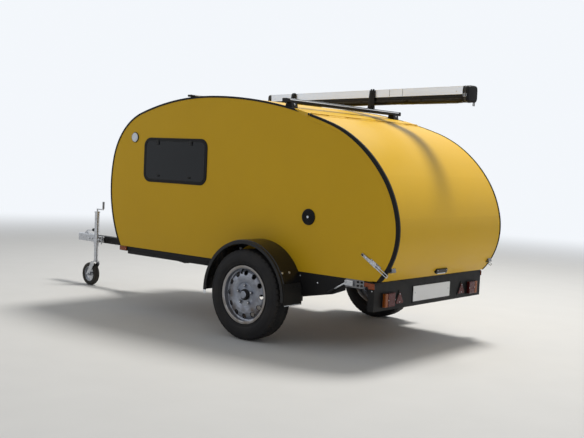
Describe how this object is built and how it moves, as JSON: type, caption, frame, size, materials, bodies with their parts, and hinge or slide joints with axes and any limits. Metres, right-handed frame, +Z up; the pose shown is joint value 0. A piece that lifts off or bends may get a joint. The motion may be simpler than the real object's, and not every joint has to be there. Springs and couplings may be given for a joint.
{
  "type": "teardrop trailer",
  "caption": "Teardrop camping trailer with a sleeping cabin, a rear galley hatch, a side door, a roof awning, sprung axle wheels and a jockey wheel.",
  "frame": {"origin": "on the floor below the middle of the whole trailer", "axes": "+X forward to the tow coupling, +Y to the left side, +Z up"},
  "size_m": [4.4724, 1.9, 1.9891],
  "materials": {
    "yellow_panel": "satin gloss paint on sandwich panel",
    "black_trim": "satin black profile",
    "birch_ply": "clear lacquered birch plywood",
    "yellow_hinge": "satin gloss paint",
    "dark_glass": "smoked acrylic",
    "zinc": "zinc plated",
    "black_steel": "black paint",
    "rod_chrome": "polished rod",
    "black_plastic": "moulded black plastic",
    "black_rubber": "matt rubber",
    "white_lens": "clear white lens",
    "side_lens": "amber lens",
    "red_lens": "red lens",
    "plate_white": "white blank plate",
    "silver_rim": "silver paint on pressed steel",
    "tyre": "road rubber",
    "jockey_rubber": "solid rubber",
    "awning_aluminium": "anodised extrusion",
    "awning_pvc": "black coated cloth"
  },
  "bodies": {
    "trailer": {"side_left": "yellow_panel", "side_right": "yellow_panel", "roof_shell": "yellow_panel", "edge_trim": "black_trim", "door_frame": "black_trim", "window_frame": "black_trim", "vents": "black_trim", "floor": "birch_ply", "bulkhead": "birch_ply", "galley": "birch_ply", "hatch_hinge_roof": "yellow_hinge", "window_glass": "dark_glass", "door_hinges_fixed": "zinc", "side_fittings": "zinc", "steady_brackets": "zinc", "jockey_tube": "zinc", "jockey_clamp": "zinc", "coupling_head": "zinc", "side_rails": "black_steel", "cross_members": "black_steel", "drawbar": "black_steel", "braces": "black_steel", "axle": "black_steel", "tail_panel": "black_steel", "roof_bars": "black_steel", "mudguards": "black_plastic", "mud_flaps": "black_rubber", "front_markers": "white_lens", "side_markers": "side_lens", "tail_indicators": "side_lens", "tail_lamps": "red_lens", "number_plate": "plate_white", "awning_plate": "awning_aluminium", "awning_bag": "awning_pvc"},
    "hatch": {"hatch_panel": "yellow_panel", "hatch_edges": "black_trim", "hatch_hinge_leaf": "yellow_hinge", "hatch_fittings": "zinc", "plate_lamp": "black_plastic"},
    "door": {"door_panel": "yellow_panel", "door_fittings": "black_trim", "door_window": "dark_glass", "door_hinges_moving": "zinc"},
    "wheel_left": {"rim_left": "silver_rim", "tyre_left": "tyre"},
    "wheel_right": {"rim_right": "silver_rim", "tyre_right": "tyre"},
    "jockey_leg": {"jockey_inner": "zinc"},
    "jockey_caster": {"jockey_fork": "zinc"},
    "jockey_roller": {"jockey_wheel": "zinc", "jockey_tyre": "jockey_rubber"},
    "steady_leg_left": {"steady_left": "zinc"},
    "steady_leg_right": {"steady_right": "zinc"},
    "strut_left": {"strut_cylinder_left": "black_steel"},
    "strut_right": {"strut_cylinder_right": "black_steel"},
    "strut_rod_l": {"strut_rod_left": "rod_chrome"},
    "strut_rod_r": {"strut_rod_right": "rod_chrome"}
  },
  "joints": [
    {"name": "hatch_lift", "type": "hinge", "parent": "trailer", "child": "hatch", "pos_m": [-1.40739, 0, 1.71356], "axis": [0, 1, 0], "range_deg": [0, 38]},
    {"name": "door_swing", "type": "hinge", "parent": "trailer", "child": "door", "pos_m": [0.13421, -0.74, 0.8], "axis": [0, 0, 1], "range_deg": [0, 95]},
    {"name": "wheel_left_spin", "type": "hinge", "parent": "trailer", "child": "wheel_left", "pos_m": [-1.00579, 0.855, 0.343], "axis": [0, 1, 0], "continuous": true},
    {"name": "wheel_right_spin", "type": "hinge", "parent": "trailer", "child": "wheel_right", "pos_m": [-1.00579, -0.855, 0.343], "axis": [0, 1, 0], "continuous": true},
    {"name": "jockey_raise", "type": "slide", "parent": "trailer", "child": "jockey_leg", "axis": [0, 0, 1], "range_m": [0, 0.14]},
    {"name": "jockey_swivel", "type": "hinge", "parent": "jockey_leg", "child": "jockey_caster", "pos_m": [1.83421, 0.1, 0.255], "axis": [0, 0, 1], "continuous": true},
    {"name": "jockey_roll", "type": "hinge", "parent": "jockey_caster", "child": "jockey_roller", "pos_m": [1.90921, 0.1, 0.115], "axis": [0, 1, 0], "continuous": true},
    {"name": "steady_left_swing", "type": "hinge", "parent": "trailer", "child": "steady_leg_left", "pos_m": [-1.88579, 0.63, 0.522], "axis": [0, 1, 0], "range_deg": [0, 90]},
    {"name": "steady_right_swing", "type": "hinge", "parent": "trailer", "child": "steady_leg_right", "pos_m": [-1.88579, -0.63, 0.522], "axis": [0, 1, 0], "range_deg": [0, 90]},
    {"name": "strut_left_swing", "type": "hinge", "parent": "trailer", "child": "strut_left", "pos_m": [-1.55579, 0.675, 1.3], "axis": [0, 1, 0], "range_deg": [0, 46.1]},
    {"name": "strut_left_stroke", "type": "slide", "parent": "strut_left", "child": "strut_rod_l", "axis": [-0.9301, 0, -0.3673], "range_m": [0, 0.276]},
    {"name": "strut_right_swing", "type": "hinge", "parent": "trailer", "child": "strut_right", "pos_m": [-1.55579, -0.675, 1.3], "axis": [0, 1, 0], "range_deg": [0, 46.1]},
    {"name": "strut_right_stroke", "type": "slide", "parent": "strut_right", "child": "strut_rod_r", "axis": [-0.9301, 0, -0.3673], "range_m": [0, 0.276]}
  ],
  "couplings": [
    {"joint": "strut_left_swing", "follows": "hatch_lift", "ratio": 1.1862},
    {"joint": "strut_left_stroke", "follows": "hatch_lift", "m_per_rad": 0.40926},
    {"joint": "strut_right_swing", "follows": "hatch_lift", "ratio": 1.1862},
    {"joint": "strut_right_stroke", "follows": "hatch_lift", "m_per_rad": 0.40926}
  ]
}
